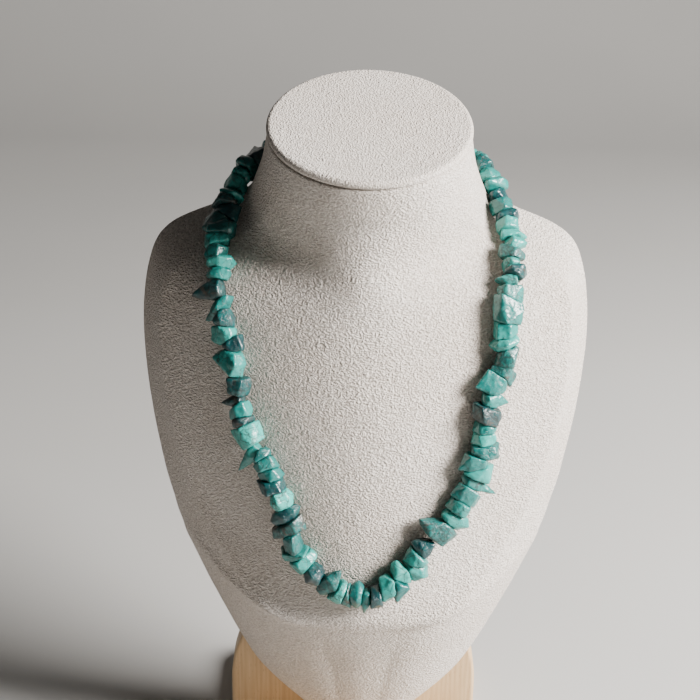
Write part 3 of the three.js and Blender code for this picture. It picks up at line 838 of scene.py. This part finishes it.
BUST_SECTIONS = [
    Section(12, 2, 12, 6, 3, 5.5, 0.5, 10, 1, 0.6),
    Section(20, 2, 21, 11, 5, 10.4, 1, 15, 1, 0.9),
    Section(39, 2, 39.2, 19, 8, 18.2, 1.5, 22, 1, 1),
    Section(66, 2, 53.2, 29.5, 11, 28.3, 2, 28, 1, 1),
    Section(95, 2.5, 65.4, 42.5, 17, 41, 3, 34, 0.8, 1),
    Section(104, 3.6, 68.3, 47.3, 31, 43.8, 4, 34, 0.45, 1),
    Section(110, 5, 70, 49.6, 41.4, 38, 5, 33.6, 0.15, 1),
    Section(128, 9.5, 74.7, 52.5, 59.5, 27.5, 7, 32, 0, 1),
    Section(156, 17, 80.1, 57, 69.4, 28.2, 8.5, 28, 0, 1),
    Section(183, 25.5, 82.5, 60.5, 74.1, 29.7, 10, 25, 0, 1),
    Section(204, 32.5, 79.9, 62, 74, 30.4, 11, 23, 0, 1),
    Section(214, 35.8, 73.5, 62.6, 67, 30.5, 11.5, 21.8, 0, 1),
    Section(221, 38, 56.5, 63, 51.5, 30.6, 11.5, 20.6, 0, 0.97),
    Section(226, 40, 48, 63.3, 43, 31.2, 12, 19.2, 0, 0.84),
    Section(231, 41.8, 44, 63.7, 39, 32.4, 13, 18, 0, 0.58),
    Section(236.5, 42.8, 42, 64.3, 37, 33.7, 14, 17.3, 0, 0.3),
    Section(245, 42.5, 39.5, 65.5, 34.5, 35, 15, 18, 0, 0.08),
    Section(253.5, 40, 37.5, 66.5, 32.5, 35, 15, 20, 0, 0),
    Section(265, 35.5, 35.5, 66.5, 30.5, 35, 15, 21, 0, 0),
]


@dataclass(frozen=True)
class CapSizes:
    """Sizes of the padded disc on the neck, in millimetres, but for its swell, in metres.

    Heights are over the neck's last section, and growth is outwards from it.
    """

    gap: float = 0.3
    rim: float = 1.65
    overhang: float = 0.4
    crown: float = 0.35
    top_reach: float = 30.0
    sunk: tuple[float, float] = (-6.0, -2.5)
    top_start: float = 0.04
    swell: float = 0.192 * MM
    swell_size: float = 7 * MM
    rim_rings: int = 15
    top_rings: int = 26
    sides: int = 200


@dataclass
class Bust:
    """The cloth covered chest, shoulders and neck.

    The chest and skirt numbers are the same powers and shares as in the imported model's outline.
    """

    chest_bulge: float = 1.6
    chest_soft: float = 0.15
    skirt_bulge: float = 2.1
    bevel_start: float = 0.9
    ridge_share: tuple[float, float] = (0.25, math.cos(math.pi / 8))
    back_across: float = 0.75
    back_depth: float = 0.7
    outline_steps: int = 1440
    scan_steps: int = 900
    ring_step: float = 1.35 * MM
    sides: int = 280
    tip_rings: int = 6
    tip_drop: float = 1.0 * MM
    swell: float = 0.24 * MM
    swell_size: float = 9 * MM
    cap: CapSizes = CapSizes()
    table: np.ndarray = field(default_factory=lambda: np.array([s.values() for s in BUST_SECTIONS]))

    def row(self, step: float) -> Section:
        """The section at a place between the table's rows, by a smooth curve through them.

        Args:
            step: the row's number, with its fraction.

        Returns:
            The section there.
        """
        last = len(self.table) - 1
        i = min(int(step), last - 1)
        f = step - i
        a, b, c, d = (self.table[min(max(k, 0), last)] for k in (i - 1, i, i + 1, i + 2))
        m, n = (c - a) / 2, (d - b) / 2
        return Section(*((2 * f**3 - 3 * f**2 + 1) * b + (f**3 - 2 * f**2 + f) * m
                         + (3 * f**2 - 2 * f**3) * c + (f**3 - f**2) * n))

    def chest_arc(self, share: np.ndarray) -> np.ndarray:
        """How far the chest has fallen back at shares of its half width, from 0 in its middle to 1.

        Args:
            share: shares of the half width, from 0 to 1.

        Returns:
            The fall at each share.
        """
        def rise(x: np.ndarray) -> np.ndarray:
            """A power curve with a soft middle."""
            return (x**2 + self.chest_soft**2)**(self.chest_bulge / 2)
        return (rise(share) - rise(0.0)) / (rise(1.0) - rise(0.0))

    def outline(self, row: Section, count: int, grow: float = 0.0) -> tuple[np.ndarray, np.ndarray]:
        """Places across and depths forward of a section's corners, in millimetres.

        Args:
            row: the section.
            count: number of corners.
            grow: growth outwards in millimetres, for a round section.

        Returns:
            Places across, and depths.
        """
        angle = np.linspace(0, math.tau, count, endpoint=False)
        c, s = np.cos(angle), np.sin(angle)
        across, side = np.abs(c), np.sign(c)
        least, most = self.ridge_share
        share = min(max(row.ridge / row.half, least), most)
        arc = np.minimum(across / share, 1)
        out = np.maximum(across - share, 0) / (1 - share)
        bevel = self.bevel_start * out + (1 - self.bevel_start) * out**2
        fall = bevel + (out**self.skirt_bulge - bevel) * row.rounding
        on_chest = across <= share
        front_x = np.where(on_chest, row.ridge * arc, row.ridge + (row.half - row.ridge) * out)
        front_d = np.where(on_chest, row.front - (row.front - row.side) * self.chest_arc(arc),
                           row.side - (row.side - row.edge) * fall)
        back_x = row.half * across**self.back_across
        back_d = row.edge * (1 - np.minimum(1, np.abs(s)**self.back_depth))
        shield_x = side * np.where(s < 0, back_x, front_x)
        shield_d = np.where(s < 0, back_d, front_d)
        oval_x = (row.half + grow) * c
        oval_d = row.front / 2 + (row.front / 2 + grow) * s
        return (oval_x + (shield_x - oval_x) * row.shield, oval_d + (shield_d - oval_d) * row.shield)

    def ring(self, row: Section, grow: float = 0.0, lift: float = 0.0, count: int = 0) -> np.ndarray:
        """A section's corners in the frame, in metres, at equal steps round it.

        Args:
            row: the section.
            grow: growth outwards in millimetres, for a round section.
            lift: height over the section's plane in millimetres.
            count: number of corners, or 0 for the bust's own.

        Returns:
            One row for each corner.
        """
        x, depth = self.outline(row, self.outline_steps, grow)
        c, s = math.cos(math.radians(row.tilt)), math.sin(math.radians(row.tilt))
        points = np.stack([x, row.back - depth * c - lift * s, row.z - depth * s + lift * c], axis=1) * MM
        front = self.outline_steps // 4
        return even_ring(np.roll(points, -front, axis=0), count or self.sides)

    def steps(self) -> list[float]:
        """Places in the table that lie about one ring step apart on the bust.

        Returns:
            The places, from the first row to the last.
        """
        fine = np.linspace(0, len(self.table) - 1, self.scan_steps)
        rings = np.array([self.ring(self.row(s), count=12) for s in fine])
        travel = np.linalg.norm(np.diff(rings, axis=0), axis=2).max(axis=1)
        along = np.concatenate([[0.0], np.cumsum(travel)])
        count = int(along[-1] / self.ring_step)
        return list(np.interp(np.linspace(0, along[-1], count), along, fine))

    def rings(self) -> list[np.ndarray]:
        """All rings from the rounded tip to the neck.

        Returns:
            Corners of each ring.
        """
        body = [self.ring(self.row(s)) for s in self.steps()]
        first = body[0]
        middle = first.mean(axis=0)
        tip = []
        for k in range(1, self.tip_rings):
            turn = (math.pi / 2) * k / self.tip_rings
            drop = np.array([0, 0, -self.tip_drop * math.cos(turn)])
            tip.append(middle + (first - middle) * math.sin(turn) + drop)
        return tip + body

    def build(self, cloth: bpy.types.Material, tree: bpy.types.NodeTree) -> bpy.types.Object:
        """Builds the covered bust.

        Args:
            cloth: its cover.
            tree: the tree for covered forms.

        Returns:
            The finished piece.
        """
        piece = closed_skin("covered_bust", self.rings())
        run_tree(piece, tree, {"Swell": self.swell, "Swell Size": self.swell_size, "Material": cloth})
        hand_over(piece, ["bust"])
        return piece

    def build_cap(self, cloth: bpy.types.Material, tree: bpy.types.NodeTree) -> bpy.types.Object:
        """Builds the padded disc on the neck, with its rolled rim.

        Args:
            cloth: its cover.
            tree: the tree for covered forms.

        Returns:
            The finished piece.
        """
        row = Section(*self.table[-1])
        cap = self.cap
        rolled = [(cap.gap + cap.rim * (1 - math.cos(a)), cap.overhang - cap.rim * (1 - math.sin(a)))
                  for a in np.linspace(0, math.pi, cap.rim_rings)]
        under = [(cap.gap, grow) for grow in cap.sunk]
        top = [(cap.gap + 2 * cap.rim + cap.crown * math.sin(f * math.pi / 2),
                cap.overhang - cap.rim - cap.top_reach * f)
               for f in np.linspace(cap.top_start, 1.0, cap.top_rings)]
        rings = [self.ring(row, grow, height, cap.sides) for height, grow in under + rolled + top]
        piece = closed_skin("covered_neck_cap", rings)
        run_tree(piece, tree, {"Swell": cap.swell, "Swell Size": cap.swell_size, "Material": cloth})
        hand_over(piece, ["neck_cap"])
        return piece


# ---------------------------------------------------------------- wooden stand


@dataclass
class WoodenStand:
    """The upright board with a round top and the foot that it stands on."""

    edge: float = 1.4 * MM
    edge_segments: int = 4
    rounded_turn: float = math.radians(50)
    sharp_turn: float = math.radians(35)
    arch_steps: int = 64
    corner: float = 12 * MM
    corner_steps: int = 12

    def slab(self, name: str, outline: list[Vector], thick: Vector,
             wood: bpy.types.Material) -> bpy.types.Object:
        """A slab with rounded edges.

        Args:
            name: the piece's name.
            outline: its corners on one face.
            thick: the way from that face to the other one.
            wood: its finish.

        Returns:
            The piece.
        """
        count = len(outline)
        vertices = outline + [p + thick for p in outline]
        faces = [tuple(range(count)), tuple(reversed(range(count, 2 * count)))]
        faces += [(i, i + count, (i + 1) % count + count, (i + 1) % count) for i in range(count)]
        piece = tidy_mesh(new_piece(name, vertices, faces))
        bevel = piece.modifiers.new("rounded_edge", "BEVEL")
        bevel.width = self.edge
        bevel.segments = self.edge_segments
        bevel.limit_method = "ANGLE"
        bevel.angle_limit = self.rounded_turn
        settle(piece)
        piece.data.materials.append(wood)
        for polygon in piece.data.polygons:
            polygon.use_smooth = True
        piece.data.set_sharp_from_angle(angle=self.sharp_turn)
        return piece

    def build(self, board_wood: bpy.types.Material, foot_wood: bpy.types.Material) -> None:
        """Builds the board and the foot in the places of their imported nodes.

        Args:
            board_wood: wood with its grain upright.
            foot_wood: wood with its grain across.
        """
        low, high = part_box("stand_board")
        radius = (high.x - low.x) / 2
        centre = Vector(((low.x + high.x) / 2, low.y, high.z - radius))
        arch = [centre + Vector((radius * math.cos(a), 0, radius * math.sin(a)))
                for a in np.linspace(0, math.pi, self.arch_steps + 1)]
        outline = [Vector((low.x, low.y, low.z)), Vector((high.x, low.y, low.z))] + arch
        board = self.slab("wooden_board", outline, Vector((0, high.y - low.y, 0)), board_wood)
        hand_over(board, ["stand_board"])

        low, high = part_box("stand_foot")
        r = self.corner
        outline = []
        for x, y, turn in ((high.x - r, high.y - r, 0), (low.x + r, high.y - r, 1),
                           (low.x + r, low.y + r, 2), (high.x - r, low.y + r, 3)):
            for a in np.linspace(turn * math.pi / 2, (turn + 1) * math.pi / 2, self.corner_steps + 1):
                outline.append(Vector((x + r * math.cos(a), y + r * math.sin(a), low.z)))
        foot = self.slab("wooden_foot", outline, Vector((0, 0, high.z - low.z)), foot_wood)
        hand_over(foot, ["stand_foot"])


# ---------------------------------------------------------------- strand


@dataclass
class Thread:
    """The thread's closed loop, a fixed distance off the bust.

    lay is how far each ply's middle is from the thread's, in ply radii, turns the number of twists in
    the loop, and passes how often a point is set off the bust again.
    """

    standoff: float = 4.4 * MM
    ply: float = 0.24 * MM
    plies: int = 3
    lay: float = 1.05
    turns: float = 210.0
    step: float = 0.7 * MM
    passes: int = 3
    points: list[tuple[float, float, float]] = field(default_factory=lambda: [
        (-42, 30, 232), (-49.5, 21, 224), (-53.5, 5, 211.5), (-52, -4, 203), (-50.5, -10, 193),
        (-47.5, -15.5, 182.5), (-45.5, -19.5, 171.5), (-44, -23, 160), (-41, -26.5, 149.5),
        (-34.5, -30.5, 140), (-30, -33, 129),
        (-26, -35, 118), (-22, -36.5, 107), (-13.5, -38.5, 98.5), (-2.5, -39.5, 94), (9, -39, 95.5),
        (18, -37.5, 103), (24, -35.5, 113), (32, -33, 121.5), (38, -30, 131.5), (41, -27.5, 142.5),
        (43, -24.5, 154), (44, -22, 165.5), (48.5, -17, 175.5), (48.5, -13.5, 187), (49.5, -8.5, 197.5),
        (51, 0, 208.5), (51, 8, 215.5), (49, 18, 224), (42, 30, 231), (33, 41, 237), (18, 48, 240),
        (0, 50, 240), (-18, 48, 240), (-34, 41, 237)])

    def route(self, bust: bpy.types.Object, steps: int = 24) -> np.ndarray:
        """Points along the loop.

        Args:
            bust: the finished bust, which the thread is held off.
            steps: points between two points of the list.

        Returns:
            One row for each point.
        """
        skin = BVHTree.FromObject(bust, bpy.context.evaluated_depsgraph_get())
        knots = []
        for point in self.points:
            place = Vector(point) * MM
            for _ in range(self.passes):
                near, normal, _, _ = skin.find_nearest(place)
                place += normal * (self.standoff - (place - near).dot(normal))
            knots.append(np.array(place))
        line = []
        count = len(knots)
        for i in range(count):
            p = [knots[(i + k) % count] for k in (-1, 0, 1, 2)]
            t = [0.0]
            for a, b in zip(p, p[1:]):
                t.append(t[-1] + math.sqrt(np.linalg.norm(b - a)))
            for f in range(steps):
                u = t[1] + (t[2] - t[1]) * f / steps
                a1 = ((t[1] - u) * p[0] + (u - t[0]) * p[1]) / (t[1] - t[0])
                a2 = ((t[2] - u) * p[1] + (u - t[1]) * p[2]) / (t[2] - t[1])
                a3 = ((t[3] - u) * p[2] + (u - t[2]) * p[3]) / (t[3] - t[2])
                b1 = ((t[2] - u) * a1 + (u - t[0]) * a2) / (t[2] - t[0])
                b2 = ((t[3] - u) * a2 + (u - t[1]) * a3) / (t[3] - t[1])
                line.append(((t[2] - u) * b1 + (u - t[1]) * b2) / (t[2] - t[1]))
        return np.array(line)

    def build(self, route: np.ndarray, wax: bpy.types.Material) -> bpy.types.Object:
        """Lays twisted plies along the loop.

        Args:
            route: points along the loop.
            wax: the thread's finish.

        Returns:
            The finished piece.
        """
        curve = bpy.data.curves.new("twisted_thread", "CURVE")
        curve.dimensions = "3D"
        spline = curve.splines.new("POLY")
        spline.points.add(len(route) - 1)
        spline.points.foreach_set("co", np.hstack([route, np.ones((len(route), 1))]).ravel())
        spline.use_cyclic_u = True
        line = bpy.data.objects.new("thread_line", curve)
        bpy.context.scene.collection.objects.link(line)
        attach_tree(line, twisted_thread_tree(self.plies), {
            "Ply Radius": self.ply, "Lay Radius": self.ply * self.lay, "Turns": self.turns,
            "Step": self.step, "Material": wax})
        mesh = evaluated_mesh(line)
        mesh.name = "twisted_thread"
        piece = bpy.data.objects.new("twisted_thread", mesh)
        bpy.context.scene.collection.objects.link(piece)
        bpy.data.objects.remove(line)
        hand_over(piece, ["thread"])
        return piece


@dataclass
class ChipStrand:
    """The polished chips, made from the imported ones.

    tone and veined are the mean and the spread of each stone's draw.
    """

    voxel: float = 0.34 * MM
    polish: int = 3
    hollow_depth: float = 0.75 * MM
    hollow_size: float = 3.2 * MM
    fullness: float = 0.85
    core: float = 1.05 * MM
    seed: int = 11
    tone: tuple[float, float] = (0.46, 0.3)
    veined: tuple[float, float] = (0.5, 0.48)
    least_corners: int = 8
    merge: float = 0.002 * MM

    def chips_of(self, node: str, route: np.ndarray) -> list[bpy.types.Object]:
        """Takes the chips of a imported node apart, without the core that joins them.

        Args:
            node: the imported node.
            route: points along the thread.

        Returns:
            One closed object for each chip, in order along the thread.
        """
        shape = bmesh.new()
        shape.from_mesh(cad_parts[node].data)
        bmesh.ops.remove_doubles(shape, verts=shape.verts, dist=self.merge)
        if node.startswith("chip_run"):
            near = {v: np.linalg.norm(route - np.array(v.co), axis=1).min() < self.core
                    for v in shape.verts}
            inner = [f for f in shape.faces if all(near[v] for v in f.verts)]
            bmesh.ops.delete(shape, geom=inner, context="FACES")
            loose = [v for v in shape.verts if not v.link_faces]
            bmesh.ops.delete(shape, geom=loose, context="VERTS")
            rims = [e for e in shape.edges if e.is_boundary]
            bmesh.ops.holes_fill(shape, edges=rims, sides=0)
        groups = self.islands(shape)
        chips = []
        for number, group in enumerate(groups):
            index = {v: i for i, v in enumerate(group)}
            faces = {f for v in group for f in v.link_faces}
            chip = new_piece(f"{node}_stone_{number}", [v.co for v in group],
                             [[index[v] for v in f.verts] for f in sorted(faces, key=lambda f: f.index)])
            chips.append(tidy_mesh(chip, self.merge))
        shape.free()
        return chips

    def islands(self, shape: bmesh.types.BMesh) -> list[list[bmesh.types.BMVert]]:
        """Groups of connected corners in a fixed order, without loose scraps.

        Args:
            shape: the mesh.

        Returns:
            The corners of each group.
        """
        shape.verts.ensure_lookup_table()
        shape.faces.index_update()
        seen: set = set()
        groups = []
        for first in shape.verts:
            if first in seen:
                continue
            stack, group = [first], []
            seen.add(first)
            while stack:
                vertex = stack.pop()
                group.append(vertex)
                for edge in vertex.link_edges:
                    other = edge.other_vert(vertex)
                    if other not in seen:
                        seen.add(other)
                        stack.append(other)
            if len(group) >= self.least_corners:
                groups.append(sorted(group, key=lambda v: v.index))
        return groups

    def polish_chip(self, chip: bpy.types.Object, tree: bpy.types.NodeTree,
                    stone: bpy.types.Material, rng: np.random.Generator) -> bpy.types.Object:
        """Tumbles one chip.

        Args:
            chip: the cut chip.
            tree: the tree for tumbled stones.
            stone: its finish.
            rng: the strand's own random numbers.

        Returns:
            The polished stone.
        """
        remesh = chip.modifiers.new("even_skin", "REMESH")
        remesh.mode = "VOXEL"
        remesh.voxel_size = self.voxel
        settle(chip)
        veined = float(np.clip(rng.normal(*self.veined), 0.02, 1.45))
        return run_tree(chip, tree, {
            "Polish": self.polish, "Hollow Depth": self.hollow_depth, "Hollow Size": self.hollow_size,
            "Fullness": self.fullness,
            "Tone": float(np.clip(rng.normal(*self.tone), 0.0, 1.0)), "Seed": float(rng.uniform(0, 8)),
            "Veined": veined, "Material": stone})

    def build(self, route: np.ndarray, stone: bpy.types.Material, tree: bpy.types.NodeTree) -> None:
        """Builds all stones, in four pieces along the loop.

        Args:
            route: points along the thread.
            stone: their finish.
            tree: the tree for tumbled stones.
        """
        rng = np.random.default_rng(self.seed)
        singles = sorted(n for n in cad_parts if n.startswith("chip_") and "run" not in n)
        half = len(singles) // 2
        groups = {
            "stones_left_shoulder": sorted(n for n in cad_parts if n.startswith("chip_run_left")),
            "stones_left_front": singles[:half],
            "stones_right_front": singles[half:],
            "stones_right_shoulder": sorted(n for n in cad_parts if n.startswith("chip_run_right")),
        }
        for name, nodes in groups.items():
            stones = []
            for node in nodes:
                for chip in self.chips_of(node, route):
                    stones.append(self.polish_chip(chip, tree, stone, rng))
            LOG.info("%s holds %d stones", name, len(stones))
            piece = join_pieces(name, stones)
            hand_over(piece, nodes)


@dataclass
class Clasp:
    """The plain barrel clasp behind the neck."""

    def build(self, metal: bpy.types.Material) -> None:
        """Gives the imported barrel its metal.

        Args:
            metal: its finish.
        """
        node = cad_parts["clasp"]
        node.data.materials.clear()
        node.data.materials.append(metal)
        LOG.info("clasp: packed node with a new finish")


# ---------------------------------------------------------------- studio


@dataclass
class Studio:
    """Plain pale floor and backdrop, soft lights and the camera.

    focal_share is the focal length in widths of the sensor, and elevation and roll are in degrees.
    """

    elevation: float = 23.0
    distance: float = 0.552
    focal_share: float = 1595 / 700
    sensor: float = 36.0
    aim: tuple[float, float, float] = (-0.0055, -0.0255, 0.1836)
    roll: float = 1.0
    floor_front: float = -1.6
    floor_half: float = 2.2
    curve_start: float = 0.9
    curve_radius: float = 0.5
    wall_top: float = 2.2
    curve_steps: int = 16
    floor_tones: tuple[str, str] = ("b3b1ae", "b9b7b4")
    room_colour: tuple[float, float, float] = (0.95, 0.96, 1.0)
    room_light: float = 0.035
    lit_place: tuple[float, float, float] = (0, 0, 0.15)

    def camera(self) -> None:
        """Sets the camera."""
        data = bpy.data.cameras.new("view")
        data.sensor_width = self.sensor
        data.lens = self.focal_share * self.sensor
        data.clip_start = 0.01
        camera = bpy.data.objects.new("view", data)
        tilt = math.radians(self.elevation)
        away = Vector((0, -math.cos(tilt), math.sin(tilt)))
        turn = away.to_track_quat("Z", "Y").to_matrix().to_4x4()
        camera.matrix_world = (Matrix.Translation(Vector(self.aim) + away * self.distance) @ turn
                               @ Matrix.Rotation(math.radians(self.roll), 4, "Z"))
        bpy.context.scene.collection.objects.link(camera)
        bpy.context.scene.camera = camera

    def floor(self) -> None:
        """A pale floor that runs up into a backdrop."""
        radius = self.curve_radius
        profile = [(self.floor_front, 0.0)]
        profile += [(self.curve_start + radius * math.sin(a), radius - radius * math.cos(a))
                    for a in np.linspace(0, math.pi / 2, self.curve_steps)]
        profile.append((self.curve_start + radius, self.wall_top))
        vertices = [(x, y, z) for y, z in profile for x in (-self.floor_half, self.floor_half)]
        faces = [(2 * i, 2 * i + 1, 2 * i + 3, 2 * i + 2) for i in range(len(profile) - 1)]
        floor = new_piece("floor", vertices, faces)
        for polygon in floor.data.polygons:
            polygon.use_smooth = True
        material, graph, shader, place = new_material("pale_floor")
        dark, light = (linear(code) for code in self.floor_tones)
        tone = graph.ramp(graph.noise(place, 3.0, 2.0), [(0.3, dark), (0.7, light)])
        graph.tree.links.new(tone, shader.inputs["Base Color"])
        shader.inputs["Roughness"].default_value = 0.9
        floor.data.materials.append(material)

    def lamp(self, name: str, place: tuple, size: float, power: float, colour: tuple) -> None:
        """Adds one soft area light that points at the lit place.

        Args:
            name: the light's name.
            place: where it stands.
            size: its side in metres.
            power: its power in watts.
            colour: its linear colour.
        """
        data = bpy.data.lights.new(name, "AREA")
        data.size = size
        data.energy = power
        data.color = colour
        lamp = bpy.data.objects.new(name, data)
        way = Vector(place) - Vector(self.lit_place)
        lamp.matrix_world = Matrix.Translation(place) @ way.to_track_quat("Z", "Y").to_matrix().to_4x4()
        bpy.context.scene.collection.objects.link(lamp)

    def lights(self) -> None:
        """A soft key light from the right and above, and a weak fill all round."""
        self.lamp("key", (0.82, -0.3, 0.6), 0.42, 54.0, (1.0, 0.98, 0.95))
        self.lamp("front", (0.35, -1.1, 0.8), 0.8, 0.3, (1.0, 0.99, 0.97))
        world = bpy.data.worlds.new("soft_room")
        world.use_nodes = True
        background = world.node_tree.nodes["Background"]
        background.inputs["Color"].default_value = (*self.room_colour, 1.0)
        background.inputs["Strength"].default_value = self.room_light
        bpy.context.scene.world = world


def main() -> None:
    """Builds the studio and then every sub-assembly in order."""
    logging.basicConfig(level=logging.INFO, format="%(name)s: %(message)s")
    studio = Studio()
    studio.camera()
    studio.floor()
    studio.lights()

    covered = covered_form_tree()
    cloth = SuedeCloth().material("crinkled_suede")
    fine_cloth = SuedeCloth(wrinkle=0.62 * MM, stretch=1.0, depth=0.75 * MM).material("cap_suede")
    bust = Bust()
    bust_piece = bust.build(cloth, covered)
    bust.build_cap(fine_cloth, covered)

    WoodenStand().build(
        BeechWood().material("board_beech"), BeechWood(stretch=(0.07, 1.0, 1.0)).material("foot_beech"))

    thread = Thread()
    route = thread.route(bust_piece)
    thread.build(route, WaxedThread().material("waxed_thread"))
    ChipStrand().build(route, Turquoise().material("polished_turquoise"), tumbled_stone_tree())
    Clasp().build(SilverMetal().material("silver_metal"))


if __name__ == "__main__":
    main()
